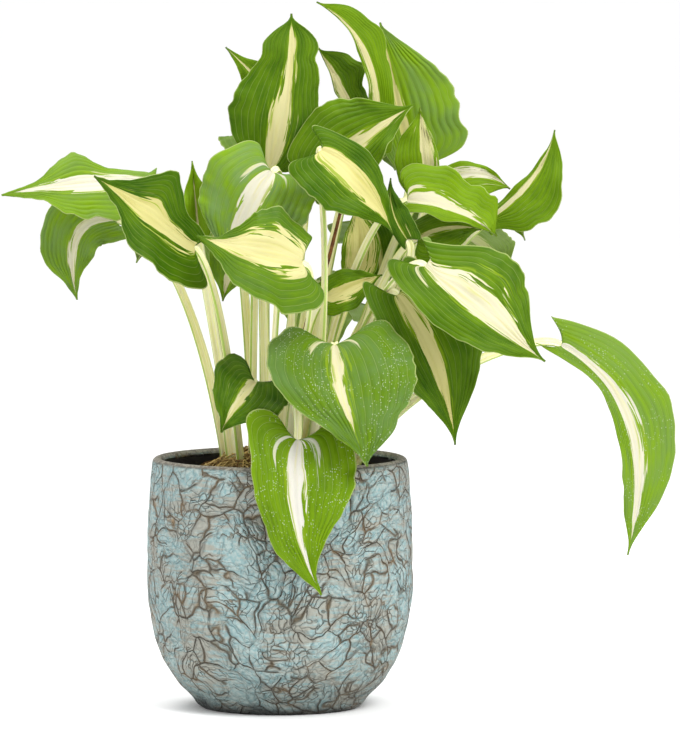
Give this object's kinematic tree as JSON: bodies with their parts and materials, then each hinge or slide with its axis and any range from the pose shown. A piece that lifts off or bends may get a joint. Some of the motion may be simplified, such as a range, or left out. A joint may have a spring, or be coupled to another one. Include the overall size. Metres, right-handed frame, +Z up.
{
  "type": "potted hosta plant",
  "caption": "Variegated plantain lily with heart-shaped, white-centred leaves on long pale stems, growing from fibre-topped soil in a round crackled ceramic cachepot.",
  "frame": {"origin": "centre of the pot's foot, on the surface that the pot stands on", "axes": "+Z up along the pot's axis, -Y towards the side the plant is looked at from, +X to the right as seen from there"},
  "size_m": [0.4011, 0.2303, 0.4225],
  "materials": {
    "ceramic": "matte",
    "soil": "matte",
    "fibre": "matte",
    "leaf": "satin",
    "petiole": "satin",
    "dry_stalk": "matte"
  },
  "bodies": {
    "root": {"pot": "ceramic", "soil": "soil", "fibre_mulch": "fibre", "dry_flower_stalk": "dry_stalk", "petioles_left_shoot": "petiole", "petioles_front_shoot": "petiole", "petioles_middle_shoot": "petiole", "petioles_right_shoot": "petiole", "petioles_back_shoot": "petiole", "leaf_blade_01": "leaf", "leaf_blade_02": "leaf", "leaf_blade_03": "leaf", "leaf_blade_04": "leaf", "leaf_blade_05": "leaf", "leaf_blade_06": "leaf", "leaf_blade_07": "leaf", "leaf_blade_08": "leaf", "leaf_blade_09": "leaf", "leaf_blade_10": "leaf", "leaf_blade_11": "leaf", "leaf_blade_12": "leaf", "leaf_blade_13": "leaf", "leaf_blade_14": "leaf", "leaf_blade_15": "leaf", "leaf_blade_16": "leaf", "leaf_blade_17": "leaf", "leaf_blade_18": "leaf", "leaf_blade_19": "leaf", "leaf_blade_20": "leaf", "leaf_blade_21": "leaf", "leaf_blade_22": "leaf", "leaf_blade_23": "leaf", "leaf_blade_24": "leaf", "leaf_blade_25": "leaf", "leaf_blade_26": "leaf", "leaf_blade_27": "leaf", "leaf_blade_28": "leaf", "leaf_blade_29": "leaf", "leaf_blade_30": "leaf", "leaf_blade_31": "leaf", "leaf_blade_32": "leaf", "leaf_blade_33": "leaf", "leaf_blade_34": "leaf", "leaf_blade_35": "leaf", "leaf_blade_36": "leaf", "leaf_blade_37": "leaf", "leaf_blade_38": "leaf"}
  },
  "joints": []
}
